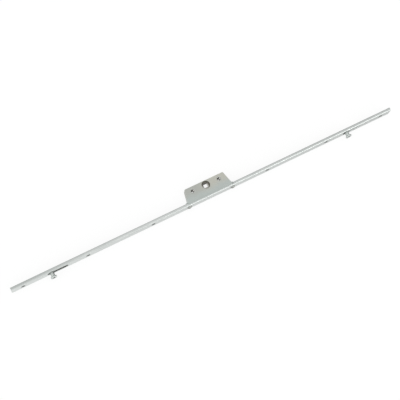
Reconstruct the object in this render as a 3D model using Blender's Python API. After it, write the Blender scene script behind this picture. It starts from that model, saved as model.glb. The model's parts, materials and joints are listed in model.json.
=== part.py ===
"""Window espagnolette: a channel rail with a sliding drive bar, two mushroom cams and a gearbox.

X runs along the rail, Y from the rail's front face towards the back of the gearbox, and Z
along the spindle. The origin is the middle of the rail's front face. The part lies on the
edge of its rail, as in a shop photograph, with the spindle upright, and it stands at one
end of its stroke: the drive bar is half a stroke to the left of its middle.
"""

from math import acos, asin, ceil, cos, pi, radians, sin, sqrt, tan

import bmesh
import bpy
from mathutils import Vector

MM = 0.001

# Clearances
GAP = 0.3 * MM  # between neighbouring pieces, fixed or sliding
CUT = 1.0 * MM  # how far a cutter stands out of what it cuts
CASE_PLAY = 0.1 * MM  # each side, between the case and the bends of the rail

# Faceplate rail, a rolled channel
RAIL_LENGTH = 622.0 * MM
RAIL_WIDTH = 16.0 * MM
RAIL_DEPTH = 4.4 * MM
RAIL_WALL = 1.5 * MM
RAIL_BEND = 0.5 * MM  # inner radius of the bends
RAIL_TIP = 0.35 * MM  # rounding of the legs' edges

# Fixing screws, countersunk in the rail
SCREW_HOLE = 5.0 * MM
SCREW_HEAD = 6.6 * MM
INNER_SCREW_X = 94.0 * MM
MIDDLE_SCREW_INSET = 115.0 * MM  # from the end of the rail
END_SCREW_INSET = 17.0 * MM

# Drive bar
BAR_THICKNESS = 1.8 * MM
BAR_END = 8.0 * MM  # past the middle of each cam
BAR_CORNER = 1.5 * MM

# Bar clips, thin plates pressed in behind the drive bar
CLIP_LENGTH = 9.0 * MM
CLIP_THICKNESS = 0.5 * MM
CLIP_BARBS = 5  # along each side
CLIP_BARB = 0.4 * MM

# Gear: a toothed sector on the hub and a rack on the drive bar
GEAR_MODULE = 1.0 * MM
GEAR_TEETH = 24  # on a full circle
PRESSURE_ANGLE = radians(20)
BACKLASH = 0.36 * MM
HUB_TURN = radians(90)
RACK_BASE = 1.25 * MM
RACK_EAR = 5.4 * MM
RACK_EAR_HEIGHT = 1.8 * MM
RACK_RIVET = 2.4 * MM
RACK_RIVET_HEAD = 4.2 * MM
RACK_RIVET_HEIGHT = 0.9 * MM

# Hub
SPINDLE = 7.0 * MM
SPINDLE_PLAY = 0.1 * MM
HUB_WALL = 0.85 * MM  # outside the corners of the spindle hole
HUB_RECESS = 1.4 * MM  # below the faces of the case
HUB_LEAD = 0.4 * MM  # chamfer at both ends of the spindle hole

# Case
CASE_WALL = 1.5 * MM
CASE_RIM = 0.7 * MM  # behind the hub's bore
CASE_END = 9.9 * MM  # past each handle screw, at the back
CASE_SLOPE = radians(12.7)  # of the end walls
CASE_CORNER = 1.2 * MM
CASE_EDGE = 0.4 * MM
CASE_BOSS = 1.6 * MM  # height of the rings round the hub's bore
CASE_BOSS_WALL = 0.75 * MM
HANDLE_SPACING = 43.0 * MM

# Handle bushes
BUSH_BORE = 5.2 * MM
BUSH_WALL = 0.8 * MM
BUSH_FLARE = 0.35 * MM

# Cast pegs that hold the cover to the body
PEG = 2.6 * MM
PEG_HEAD = 4.0 * MM
PEG_WALL = 1.0 * MM
PEG_X = 7.9 * MM  # outwards from the handle screw
PEG_Y = 6.0 * MM  # towards the rail from the handle screw

# Rivets from the rail into the toes of the case
CASE_RIVET = 3.0 * MM
CASE_RIVET_HEAD = 7.2 * MM
CASE_RIVET_DOME = 2.2 * MM
CASE_RIVET_INSET = 1.1 * MM  # from the case's foot to the rivet
CASE_RIVET_GRIP = 1.9 * MM  # how far it goes into the case
TOE_WALL = 1.0 * MM

# Mushroom cams
CAM_INSET = 69.0 * MM  # from the end of the rail, at mid-stroke
CAM_HEIGHT = 7.8 * MM
CAM_HEAD = 9.4 * MM
CAM_HEAD_THICKNESS = 2.0 * MM
CAM_HEAD_EDGE = 0.5 * MM
CAM_NECK = 6.0 * MM
CAM_COVE = 1.0 * MM  # radius between its neck and head
CAM_THROW = 0.8 * MM  # of its eccentric tail
CAM_TAIL = 3.6 * MM
CAM_PEEN = 5.2 * MM
CAM_PEEN_THICKNESS = 0.7 * MM
CAM_SOCKET = 4.0 * MM  # across flats
CAM_SOCKET_DEPTH = 2.6 * MM
CAM_SLOT_SPARE = 1.5 * MM  # past the cam at each end of its stroke
WASHER = 7.0 * MM
WASHER_THICKNESS = 0.4 * MM

# Facets of round pieces
FINE = 48
COARSE = 32
SMALL = 24

# Worked out from the sizes above
RAIL_HALF = RAIL_LENGTH / 2
RAIL_ROUND = RAIL_WALL + RAIL_BEND
CHANNEL_WIDTH = RAIL_WIDTH - 2 * RAIL_WALL
BAR_FRONT = RAIL_WALL + GAP
BAR_BACK = BAR_FRONT + BAR_THICKNESS
LAYER = BAR_BACK + GAP  # where pieces behind the bar begin
BAR_WIDTH = CHANNEL_WIDTH - 2 * GAP

PITCH = pi * GEAR_MODULE
PITCH_RADIUS = GEAR_MODULE * GEAR_TEETH / 2
PITCH_LINE = LAYER + RACK_BASE + 1.25 * GEAR_MODULE
STROKE = PITCH_RADIUS * HUB_TURN
HUB_Y = PITCH_LINE + PITCH_RADIUS
SPINDLE_HOLE = SPINDLE + SPINDLE_PLAY
HUB_RADIUS = SPINDLE_HOLE / sqrt(2) + HUB_WALL
HUB_BORE = HUB_RADIUS + GAP

CASE_THICKNESS = RAIL_WIDTH - 2 * RAIL_ROUND - 2 * CASE_PLAY
CASE_HALF = CASE_THICKNESS / 2
CASE_INSIDE = CASE_HALF - CASE_WALL
CASE_FOOT_Y = RAIL_WALL + GAP
CASE_BACK_Y = HUB_Y + HUB_BORE + CASE_RIM
HANDLE_X = HANDLE_SPACING / 2
CASE_FOOT_X = HANDLE_X + CASE_END + (CASE_BACK_Y - CASE_FOOT_Y) * tan(CASE_SLOPE)
SPLIT_Z = CASE_INSIDE - GAP  # where the body ends, a gap below the cover
GEAR_HALF = CASE_INSIDE - CASE_BOSS - GAP
WAIST_HALF = CASE_INSIDE - GAP
BUSH_RADIUS = BUSH_BORE / 2 + BUSH_WALL
PEG_PLACES = [(side * (HANDLE_X + PEG_X), HUB_Y - PEG_Y) for side in (-1, 1)]

CASE_RIVET_X = CASE_FOOT_X - CASE_RIVET_INSET
CASE_RIVET_HOLE = CASE_RIVET / 2 + GAP
CASE_RIVET_SEAT = CASE_RIVET_HEAD / 2 + GAP
TOE_X = CASE_RIVET_X + CASE_RIVET_HOLE + TOE_WALL
TOE_HALF = CASE_RIVET_HOLE + TOE_WALL
TOE_Y = LAYER + CASE_RIVET_GRIP + TOE_WALL
LUG_X = CASE_RIVET_X - CASE_RIVET_HOLE - TOE_WALL
LEG_GAP_X = CASE_FOOT_X + GAP

RACK_TEETH_HALF = ceil(STROKE / 2 / PITCH - 0.01) + 1
RACK_EAR_X = (RACK_TEETH_HALF + 0.5) * PITCH
RACK_HALF = RACK_EAR_X + RACK_EAR
RACK_RIVET_X = RACK_EAR_X + RACK_EAR / 2

CAM_X = RAIL_HALF - CAM_INSET
CAM_REACH = CAM_NECK / 2 + CAM_THROW  # a cam's neck, turned outwards
CAM_SLOT_HALF = STROKE / 2 + CAM_REACH + CAM_THROW + CAM_SLOT_SPARE
MIDDLE_SCREW_X = RAIL_HALF - MIDDLE_SCREW_INSET
END_SCREW_X = RAIL_HALF - END_SCREW_INSET
BAR_HALF = CAM_X + BAR_END
WAIST_X = TOE_X + STROKE / 2 + 2 * GAP
CLIP_PLACES = [
    -(MIDDLE_SCREW_X + CAM_X) / 2,
    -(INNER_SCREW_X + MIDDLE_SCREW_X) / 2,
    (INNER_SCREW_X + MIDDLE_SCREW_X) / 2,
    (MIDDLE_SCREW_X + CAM_X) / 2,
]


# Outlines

def arc(centre, radius, start, end, steps):
    """Points from one angle to another, both ends included."""
    angles = [start + (end - start) * i / steps for i in range(steps + 1)]
    return [(centre[0] + radius * cos(a), centre[1] + radius * sin(a)) for a in angles]


def circle(centre, radius, steps):
    return arc(centre, radius, 0, 2 * pi, steps)[:-1]


def rectangle(x_low, y_low, x_high, y_high):
    return [(x_low, y_low), (x_high, y_low), (x_high, y_high), (x_low, y_high)]


def slot(centre_x, half_length, half_width, steps=10):
    """A slot with round ends along the first axis."""
    reach = half_length - half_width
    right = arc((centre_x + reach, 0), half_width, -pi / 2, pi / 2, steps)
    left = arc((centre_x - reach, 0), half_width, pi / 2, 3 * pi / 2, steps)
    return right + left


def hexagon(across_flats):
    return circle((0, 0), across_flats / sqrt(3), 6)


def fillet(before, corner, after, radius, steps=4):
    """The corner of an outline, rounded."""
    corner = Vector(corner)
    to_before = (Vector(before) - corner).normalized()
    to_after = (Vector(after) - corner).normalized()
    half_angle = to_before.angle(to_after) / 2
    middle = corner + (to_before + to_after).normalized() * (radius / sin(half_angle))
    first = corner + to_before * (radius / tan(half_angle)) - middle
    last = corner + to_after * (radius / tan(half_angle)) - middle
    points = [first.lerp(last, i / steps).normalized() for i in range(steps + 1)]
    return [tuple(middle + p * radius) for p in points]


def involute(angle):
    return tan(angle) - angle


def tooth_half_angle(radius):
    """Half the angle that a sector's tooth fills at a radius; below the base circle it is constant."""
    base = PITCH_RADIUS * cos(PRESSURE_ANGLE)
    here = acos(min(1, base / radius))
    at_pitch = (PITCH - BACKLASH) / 4 / PITCH_RADIUS
    return at_pitch + involute(PRESSURE_ANGLE) - involute(here)


def sector_teeth():
    """Angles of the sector's teeth from its middle line, half a tooth's pitch either side of it."""
    step = 2 * pi / GEAR_TEETH
    each_side = round(HUB_TURN / 2 / step) + 1
    return [(i + 0.5) * step for i in range(-each_side, each_side)]


def sector_outline(turn):
    """The toothed sector, from inside the hub out to the teeth, with its middle line at an angle."""
    root = PITCH_RADIUS - 1.25 * GEAR_MODULE
    tip = PITCH_RADIUS + GEAR_MODULE
    radii = [root] + [root + (tip - root) * i / 5 for i in range(1, 6)]
    flank = [(r, tooth_half_angle(r)) for r in radii]
    teeth = sector_teeth()
    edge = teeth[-1] + 2 * flank[0][1]
    inside = HUB_RADIUS / 2
    polar = [(inside, -edge), (root, -edge)]
    for middle in teeth:
        polar += [(r, middle - half) for r, half in flank]
        polar += [(r, middle + half) for r, half in reversed(flank)]
    polar += [(root, edge), (inside, edge)]
    return [(r * cos(a + turn), r * sin(a + turn)) for r, a in polar]


def rack_outline():
    """The rack seen along the spindle: teeth in the middle and a riveted ear at each end."""
    root = PITCH_LINE - 1.25 * GEAR_MODULE
    tip = PITCH_LINE + GEAR_MODULE
    slope = tan(PRESSURE_ANGLE)
    half_pitch = (PITCH - BACKLASH) / 4
    half_tip = half_pitch - GEAR_MODULE * slope
    half_root = half_pitch + 1.25 * GEAR_MODULE * slope
    ear_top = LAYER + RACK_EAR_HEIGHT
    points = [(-RACK_HALF, LAYER), (RACK_HALF, LAYER), (RACK_HALF, ear_top), (RACK_EAR_X, ear_top)]
    points.append((RACK_EAR_X, root))
    for i in range(RACK_TEETH_HALF, -RACK_TEETH_HALF - 1, -1):
        middle = i * PITCH
        points += [(middle + half_root, root), (middle + half_tip, tip)]
        points += [(middle - half_tip, tip), (middle - half_root, root)]
    points += [(-RACK_EAR_X, root), (-RACK_EAR_X, ear_top), (-RACK_HALF, ear_top)]
    return points


def rail_outline():
    """The channel's section, Y across it and Z up, with its front at Y 0."""
    half = RAIL_WIDTH / 2
    bend = (RAIL_ROUND, half - RAIL_ROUND)
    upper = arc((RAIL_DEPTH - RAIL_TIP, half - RAIL_TIP), RAIL_TIP, 0, pi / 2, 3)
    upper += arc(bend, RAIL_ROUND, pi / 2, pi, 6)
    inner = arc(bend, RAIL_BEND, pi, pi / 2, 4)
    inner += arc((RAIL_DEPTH - RAIL_TIP, half - RAIL_WALL + RAIL_TIP), RAIL_TIP, -pi / 2, 0, 3)
    lower = [(y, -z) for y, z in reversed(upper)]
    return upper + lower + [(y, -z) for y, z in reversed(inner)] + inner


def clip_outline():
    """A clip from the front: a plate with saw-tooth barbs along both sides."""
    half = CHANNEL_WIDTH / 2 - GAP
    pitch = CLIP_LENGTH / CLIP_BARBS
    starts = [i * pitch - CLIP_LENGTH / 2 for i in range(CLIP_BARBS)]
    side = [point for x in starts for point in ((x, half - CLIP_BARB), (x + pitch, half))]
    return side + [(x, -z) for x, z in reversed(side)]


def case_x(y, inset=0.0):
    """Half the case's length at a distance from the rail, with its end walls moved inwards."""
    return CASE_FOOT_X - (y - CASE_FOOT_Y) * tan(CASE_SLOPE) - inset / cos(CASE_SLOPE)


def case_outline():
    """The case seen along the spindle: a trapezoid with its back corners rounded."""
    foot = (case_x(CASE_FOOT_Y), CASE_FOOT_Y)
    back = (case_x(CASE_BACK_Y), CASE_BACK_Y)
    right = [foot] + fillet(foot, back, (0, CASE_BACK_Y), CASE_CORNER)
    return right + [(-x, y) for x, y in reversed(right)]


def cavity_outline():
    """The room inside the case, open towards the rail, with a lug at each end for the rivets."""
    back = CASE_BACK_Y - CASE_WALL
    lug_y = TOE_Y + TOE_WALL
    right = [
        (TOE_X + CUT, CASE_FOOT_Y - CUT),
        (TOE_X + CUT, LAYER),
        (LUG_X, LAYER),
        (LUG_X, lug_y),
        (case_x(lug_y, CASE_WALL), lug_y),
        (case_x(back, CASE_WALL), back),
    ]
    return right + [(-x, y) for x, y in reversed(right)]


def hub_ring_outline(back):
    """The ring round the hub's bore, cut off straight at a distance from the rail."""
    radius = HUB_BORE + CASE_BOSS_WALL
    corner = asin(min(1, (back - HUB_Y) / radius))
    return arc((0, HUB_Y), radius, pi - corner, 2 * pi + corner, FINE)


def bar_outline():
    """The drive bar from the front, with a narrow waist where it runs through the case."""
    half = BAR_WIDTH / 2
    quarter = [(WAIST_X, WAIST_HALF), (WAIST_X + half - WAIST_HALF, half)]
    quarter += fillet((WAIST_X, half), (BAR_HALF, half), (BAR_HALF, 0), BAR_CORNER)
    right = quarter + [(x, -z) for x, z in reversed(quarter)]
    return right + [(-x, -z) for x, z in right]


# Solids

def place(axis, along, u, v):
    """A point of an outline (u, v), moved along the axis that the outline is pushed out on."""
    return {"X": (along, u, v), "Y": (u, along, v), "Z": (u, v, along)}[axis]


def add_stack(bm, axis, sections):
    """A solid through sections of (outline, level), whose outlines have the same number of points."""
    rows = [[bm.verts.new(place(axis, level, u, v)) for u, v in outline] for outline, level in sections]
    bm.faces.new(rows[0])
    bm.faces.new(rows[-1])
    for low, high in zip(rows, rows[1:]):
        for i in range(len(low)):
            j = (i + 1) % len(low)
            bm.faces.new((low[i], low[j], high[j], high[i]))


def add_prism(bm, outline, axis, low, high):
    """An outline pushed out along an axis, from one level to another."""
    add_stack(bm, axis, [(outline, low), (outline, high)])


def add_turned(bm, profile, steps, axis="Z", centre=(0, 0), ring=False):
    """A profile of (radius, height) points turned about an axis; a ring's profile closes on itself."""
    rows = []
    for radius, height in profile:
        count = steps if radius > 0 else 1
        spots = [2 * pi * i / steps for i in range(count)]
        spots = [(centre[0] + radius * cos(a), centre[1] + radius * sin(a)) for a in spots]
        rows.append([bm.verts.new(place(axis, height, u, v)) for u, v in spots])
    pairs = list(zip(rows, rows[1:])) + ([(rows[-1], rows[0])] if ring else [])
    for low, high in pairs:
        for i in range(steps):
            j = (i + 1) % steps
            corners = [low[i % len(low)], low[j % len(low)], high[j % len(high)], high[i % len(high)]]
            bm.faces.new(list(dict.fromkeys(corners)))


def add_cylinder(bm, radius, low, high, steps, axis="Z", centre=(0, 0)):
    add_turned(bm, [(0, low), (radius, low), (radius, high), (0, high)], steps, axis, centre)


def make_object(name, bm, parent=None):
    """A mesh object from a bmesh whose solids don't meet."""
    bmesh.ops.recalc_face_normals(bm, faces=bm.faces)
    mesh = bpy.data.meshes.new(name)
    bm.to_mesh(mesh)
    bm.free()
    made = bpy.data.objects.new(name, mesh)
    bpy.context.scene.collection.objects.link(made)
    made.parent = parent
    return made


def make_piece(name, bm, material, parent=None):
    """A piece of the product, shaded smooth where its facets stand for a curve."""
    piece = make_object(name, bm, parent)
    piece.data.materials.append(material)
    piece.data.shade_smooth()
    piece.data.set_sharp_from_angle(angle=radians(35))
    return piece


def make_cutter(name, bm, parent=None):
    """A guide solid for a Boolean, left out of the product."""
    cutter = make_object(name, bm, parent)
    cutter.hide_render = True
    cutter.display_type = "WIRE"
    return cutter


def combine(piece, tool, operation):
    boolean = piece.modifiers.new(f"{operation.lower()}_{tool.name}", "BOOLEAN")
    boolean.object = tool
    boolean.operation = operation
    boolean.solver = "EXACT"


def soften(piece, width, segments=2):
    """Small rounded edges on a plain solid, before it is cut."""
    bevel = piece.modifiers.new("edges", "BEVEL")
    bevel.width = width
    bevel.segments = segments
    bevel.limit_method = "ANGLE"
    bevel.angle_limit = radians(40)


def make_empty(name, place_at):
    empty = bpy.data.objects.new(name, None)
    empty.location = place_at
    bpy.context.scene.collection.objects.link(empty)
    return empty


def make_material(name, colour, roughness, metallic):
    material = bpy.data.materials.new(name)
    material.use_nodes = True
    shader = material.node_tree.nodes["Principled BSDF"]
    shader.inputs["Base Color"].default_value = (*colour, 1)
    shader.inputs["Roughness"].default_value = roughness
    shader.inputs["Metallic"].default_value = metallic
    return material


# The rail and what is fixed to it

def build_rail(material):
    """The channel, with a gap deep seat for each rivet's head, whose dome begins at the front."""
    bm = bmesh.new()
    add_prism(bm, rail_outline(), "X", -RAIL_HALF, RAIL_HALF)
    rail = make_piece("faceplate_rail", bm, material)

    legs = bmesh.new()
    gap = rectangle(RAIL_ROUND, -RAIL_WIDTH / 2 - CUT, RAIL_DEPTH + CUT, RAIL_WIDTH / 2 + CUT)
    add_prism(legs, gap, "X", -LEG_GAP_X, LEG_GAP_X)
    combine(rail, make_cutter("leg_cutter", legs), "DIFFERENCE")

    holes = bmesh.new()
    sink = (SCREW_HEAD - SCREW_HOLE) / 2
    countersink = [
        (0, -CUT),
        (SCREW_HEAD / 2 + CUT, -CUT),
        (SCREW_HOLE / 2, sink),
        (SCREW_HOLE / 2, sink + RAIL_WALL),
        (0, sink + RAIL_WALL),
    ]
    rivet_seat = [
        (0, -CUT),
        (CASE_RIVET_SEAT, -CUT),
        (CASE_RIVET_SEAT, GAP),
        (CASE_RIVET_HOLE, GAP),
        (CASE_RIVET_HOLE, RAIL_WALL + CUT),
        (0, RAIL_WALL + CUT),
    ]
    for side in (-1, 1):
        for x in (INNER_SCREW_X, MIDDLE_SCREW_X, END_SCREW_X):
            add_turned(holes, countersink, COARSE, "Y", (side * x, 0))
        add_turned(holes, rivet_seat, COARSE, "Y", (side * CASE_RIVET_X, 0))
        cam_slot = slot(side * CAM_X, CAM_SLOT_HALF, CAM_REACH + GAP)
        add_prism(holes, cam_slot, "Y", -CUT, RAIL_WALL + CUT)
    combine(rail, make_cutter("rail_hole_cutter", holes), "DIFFERENCE")


def build_clips(material):
    """Spring clips wedged between the legs."""
    for number, x in enumerate(CLIP_PLACES, start=1):
        bm = bmesh.new()
        add_prism(bm, clip_outline(), "Y", LAYER, LAYER + CLIP_THICKNESS)
        clip = make_piece(f"bar_clip_{number}", bm, material)
        clip.location = (x, 0, 0)


def build_case_rivets(material):
    """Dome-headed rivets; their own Z points out of the rail's front."""
    radius = CASE_RIVET_HEAD / 2
    sphere = (radius**2 + CASE_RIVET_DOME**2) / (2 * CASE_RIVET_DOME)
    dome = arc((0, CASE_RIVET_DOME - sphere), sphere, pi / 2, asin(radius / sphere), 5)
    tail = -(LAYER + CASE_RIVET_GRIP)
    profile = dome + [(CASE_RIVET / 2, 0), (CASE_RIVET / 2, tail), (0, tail)]
    for side, word in ((-1, "left"), (1, "right")):
        bm = bmesh.new()
        add_turned(bm, profile, SMALL)
        rivet = make_piece(f"case_rivet_{word}", bm, material)
        rivet.location = (side * CASE_RIVET_X, 0, 0)
        rivet.rotation_euler = (pi / 2, 0, 0)


# The gearbox case

def add_hub_and_bush_bores(bm, low, high):
    add_cylinder(bm, HUB_BORE, low, high, FINE, centre=(0, HUB_Y))
    for side in (-1, 1):
        add_cylinder(bm, BUSH_RADIUS + GAP, low, high, COARSE, centre=(side * HANDLE_X, HUB_Y))


def build_case_body(material):
    bm = bmesh.new()
    add_prism(bm, case_outline(), "Z", -CASE_HALF, SPLIT_Z)
    body = make_piece("case_body", bm, material)
    soften(body, CASE_EDGE)

    toes = bmesh.new()
    for side in (-1, 1):
        ends = sorted((side * LUG_X, side * TOE_X))
        add_prism(toes, rectangle(ends[0], LAYER, ends[1], TOE_Y), "Z", -TOE_HALF, TOE_HALF)
    combine(body, make_cutter("toe_tool", toes), "UNION")

    room = bmesh.new()
    add_prism(room, cavity_outline(), "Z", -CASE_INSIDE, CASE_HALF)
    combine(body, make_cutter("cavity_cutter", room), "DIFFERENCE")

    bosses = bmesh.new()
    floor = -CASE_INSIDE - CASE_WALL / 2
    ring_top = -CASE_INSIDE + CASE_BOSS
    in_back_wall = CASE_BACK_Y - CASE_RIM / 2
    add_prism(bosses, hub_ring_outline(in_back_wall), "Z", floor, ring_top)
    for side in (-1, 1):
        at = (side * HANDLE_X, HUB_Y)
        add_cylinder(bosses, BUSH_RADIUS + GAP + CASE_BOSS_WALL, floor, SPLIT_Z, COARSE, centre=at)
    for at in PEG_PLACES:
        add_cylinder(bosses, PEG / 2 + GAP + PEG_WALL, floor, SPLIT_Z, SMALL, centre=at)
    combine(body, make_cutter("boss_tool", bosses), "UNION")

    bores = bmesh.new()
    add_hub_and_bush_bores(bores, -CASE_HALF - CUT, CASE_HALF)
    sink = (PEG_HEAD - PEG) / 2
    peg_hole = [
        (0, -CASE_HALF - CUT),
        (PEG_HEAD / 2 + GAP + CUT, -CASE_HALF - CUT),
        (PEG / 2 + GAP, -CASE_HALF + sink),
        (PEG / 2 + GAP, CASE_HALF),
        (0, CASE_HALF),
    ]
    for at in PEG_PLACES:
        add_turned(bores, peg_hole, SMALL, centre=at)
    for side in (-1, 1):
        deep = LAYER + CASE_RIVET_GRIP + GAP
        add_cylinder(bores, CASE_RIVET_HOLE, LAYER - CUT, deep, SMALL, "Y", (side * CASE_RIVET_X, 0))
    combine(body, make_cutter("body_bore_cutter", bores), "DIFFERENCE")


def build_case_cover(material):
    """The near half: a plate with a ring round the hub's bore and two cast pegs."""
    bm = bmesh.new()
    add_prism(bm, case_outline(), "Z", CASE_INSIDE, CASE_HALF)
    cover = make_piece("case_cover", bm, material)
    soften(cover, CASE_EDGE)

    added = bmesh.new()
    inside_plate = CASE_INSIDE + CASE_WALL / 2
    ring_low = CASE_INSIDE - CASE_BOSS
    clear_of_back_wall = CASE_BACK_Y - CASE_WALL - GAP
    add_prism(added, hub_ring_outline(clear_of_back_wall), "Z", ring_low, inside_plate)
    sink = (PEG_HEAD - PEG) / 2
    peg = [
        (0, -CASE_HALF),
        (PEG_HEAD / 2, -CASE_HALF),
        (PEG / 2, -CASE_HALF + sink),
        (PEG / 2, inside_plate),
        (0, inside_plate),
    ]
    for at in PEG_PLACES:
        add_turned(added, peg, SMALL, centre=at)
    combine(cover, make_cutter("cover_tool", added), "UNION")

    bores = bmesh.new()
    add_hub_and_bush_bores(bores, ring_low - CUT, CASE_HALF + CUT)
    combine(cover, make_cutter("cover_bore_cutter", bores), "DIFFERENCE")


def build_bushes(material):
    """Steel tubes for the handle screws, their bores flared at both ends."""
    bore = BUSH_BORE / 2
    profile = [
        (BUSH_RADIUS, -CASE_HALF),
        (BUSH_RADIUS, CASE_HALF),
        (bore + BUSH_FLARE, CASE_HALF),
        (bore, CASE_HALF - BUSH_FLARE),
        (bore, -CASE_HALF + BUSH_FLARE),
        (bore + BUSH_FLARE, -CASE_HALF),
    ]
    for side, word in ((-1, "left"), (1, "right")):
        bm = bmesh.new()
        add_turned(bm, profile, COARSE, ring=True)
        bush = make_piece(f"handle_bush_{word}", bm, material)
        bush.location = (side * HANDLE_X, HUB_Y, 0)


# What turns and slides

def build_hub(material):
    """The hub at one end of its turn: the sector's middle line is half a turn short of the rail."""
    axis = make_empty("hub_axis", (0, HUB_Y, 0))
    length = CASE_HALF - HUB_RECESS
    bm = bmesh.new()
    add_cylinder(bm, HUB_RADIUS, -length, length, FINE)
    hub = make_piece("hub_pinion", bm, material, axis)

    teeth = bmesh.new()
    add_prism(teeth, sector_outline(-pi / 2 - HUB_TURN / 2), "Z", -GEAR_HALF, GEAR_HALF)
    combine(hub, make_cutter("sector_tool", teeth, axis), "UNION")

    square = bmesh.new()
    narrow = SPINDLE_HOLE / 2
    wide = narrow + HUB_LEAD + CUT
    steps = ((wide, -length - CUT), (narrow, HUB_LEAD - length), (narrow, length - HUB_LEAD), (wide, length + CUT))
    add_stack(square, "Z", [(rectangle(-half, -half, half, half), level) for half, level in steps])
    combine(hub, make_cutter("spindle_cutter", square, axis), "DIFFERENCE")


def build_bar(material, carriage):
    bm = bmesh.new()
    add_prism(bm, bar_outline(), "Y", BAR_FRONT, BAR_BACK)
    bar = make_piece("drive_bar", bm, material, carriage)

    holes = bmesh.new()
    low = BAR_FRONT - CUT
    high = BAR_BACK + CUT
    sink = (RACK_RIVET_HEAD - RACK_RIVET) / 2
    rivet_hole = [
        (0, low),
        (RACK_RIVET_HEAD / 2 + GAP + CUT, low),
        (RACK_RIVET / 2 + GAP, BAR_FRONT + sink),
        (RACK_RIVET / 2 + GAP, high + sink),
        (0, high + sink),
    ]
    for side in (-1, 1):
        for x in (INNER_SCREW_X, MIDDLE_SCREW_X):
            half_width = SCREW_HOLE / 2 + GAP
            add_prism(holes, slot(side * x, STROKE / 2 + half_width, half_width), "Y", low, high)
        half_width = CASE_RIVET_HOLE
        rivet_slot = slot(side * CASE_RIVET_X, STROKE / 2 + half_width, half_width)
        add_prism(holes, rivet_slot, "Y", low, high)
        tail_at = (side * CAM_X + CAM_THROW, 0)
        add_cylinder(holes, CAM_TAIL / 2 + GAP, low, high, SMALL, "Y", tail_at)
        add_turned(holes, rivet_hole, SMALL, "Y", (side * RACK_RIVET_X, 0))
    combine(bar, make_cutter("bar_hole_cutter", holes, carriage), "DIFFERENCE")


def build_rack(material, carriage):
    bm = bmesh.new()
    add_prism(bm, rack_outline(), "Z", -WAIST_HALF, WAIST_HALF)
    rack = make_piece("drive_rack", bm, material, carriage)

    holes = bmesh.new()
    for side in (-1, 1):
        top = LAYER + RACK_EAR_HEIGHT + CUT
        at = (side * RACK_RIVET_X, 0)
        add_cylinder(holes, RACK_RIVET / 2 + GAP, LAYER - CUT, top, SMALL, "Y", at)
    combine(rack, make_cutter("rack_hole_cutter", holes, carriage), "DIFFERENCE")


def build_rack_rivets(material, carriage):
    """Rivets with a flat head sunk in the bar; their own Z points out of the rail's front."""
    head = -BAR_FRONT
    sink = (RACK_RIVET_HEAD - RACK_RIVET) / 2
    seat = -(LAYER + RACK_EAR_HEIGHT + GAP)
    top = seat - RACK_RIVET_HEIGHT
    profile = [
        (0, head),
        (RACK_RIVET_HEAD / 2, head),
        (RACK_RIVET / 2, head - sink),
        (RACK_RIVET / 2, seat),
        (RACK_RIVET_HEAD / 2, seat),
        (RACK_RIVET_HEAD / 2, seat - RACK_RIVET_HEIGHT / 2),
        (RACK_RIVET / 2, top),
        (0, top),
    ]
    for side, word in ((-1, "left"), (1, "right")):
        bm = bmesh.new()
        add_turned(bm, profile, SMALL)
        rivet = make_piece(f"rack_rivet_{word}", bm, material, carriage)
        rivet.location = (side * RACK_RIVET_X, 0, 0)
        rivet.rotation_euler = (pi / 2, 0, 0)


def build_cams(material, washer_material, carriage):
    """Mushroom cams, each on an eccentric tail peened over behind the drive bar.

    A cam's own origin is on the tail's axis and its Z points out of the rail's front.
    """
    neck = CAM_NECK / 2
    head = CAM_HEAD / 2
    under = CAM_HEIGHT - CAM_HEAD_THICKNESS
    mushroom = [(0, -RAIL_WALL), (neck, -RAIL_WALL)]
    mushroom += arc((neck + CAM_COVE, under - CAM_COVE), CAM_COVE, pi, pi / 2, 4)
    mushroom += [
        (head - CAM_HEAD_EDGE / 2, under),
        (head, under + CAM_HEAD_EDGE / 2),
        (head, CAM_HEIGHT - CAM_HEAD_EDGE),
        (head - CAM_HEAD_EDGE, CAM_HEIGHT),
        (0, CAM_HEIGHT),
    ]
    washer_back = LAYER + WASHER_THICKNESS
    peen = -(washer_back + GAP)
    tail = [
        (0, peen - CAM_PEEN_THICKNESS),
        (CAM_PEEN / 2 - CAM_PEEN_THICKNESS / 2, peen - CAM_PEEN_THICKNESS),
        (CAM_PEEN / 2, peen - CAM_PEEN_THICKNESS / 2),
        (CAM_PEEN / 2, peen),
        (CAM_TAIL / 2, peen),
        (CAM_TAIL / 2, 0),
        (0, 0),
    ]
    bore = CAM_TAIL / 2 + GAP
    ring = rectangle(bore, -washer_back, WASHER / 2, -LAYER)
    for side, word in ((-1, "left"), (1, "right")):
        axis = make_empty(f"cam_axis_{word}", (side * CAM_X + CAM_THROW, 0, 0))
        axis.parent = carriage
        axis.rotation_euler = (pi / 2, 0, 0)

        bm = bmesh.new()
        add_turned(bm, mushroom, COARSE, centre=(-CAM_THROW, 0))
        cam = make_piece(f"mushroom_cam_{word}", bm, material, axis)
        shank = bmesh.new()
        add_turned(shank, tail, SMALL)
        combine(cam, make_cutter(f"tail_tool_{word}", shank, axis), "UNION")
        socket = bmesh.new()
        centred = [(x - CAM_THROW, y) for x, y in hexagon(CAM_SOCKET)]
        add_prism(socket, centred, "Z", CAM_HEIGHT - CAM_SOCKET_DEPTH, CAM_HEIGHT + CUT)
        combine(cam, make_cutter(f"socket_cutter_{word}", socket, axis), "DIFFERENCE")

        bm = bmesh.new()
        add_turned(bm, ring, SMALL, ring=True)
        make_piece(f"cam_washer_{word}", bm, washer_material, axis)


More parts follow.
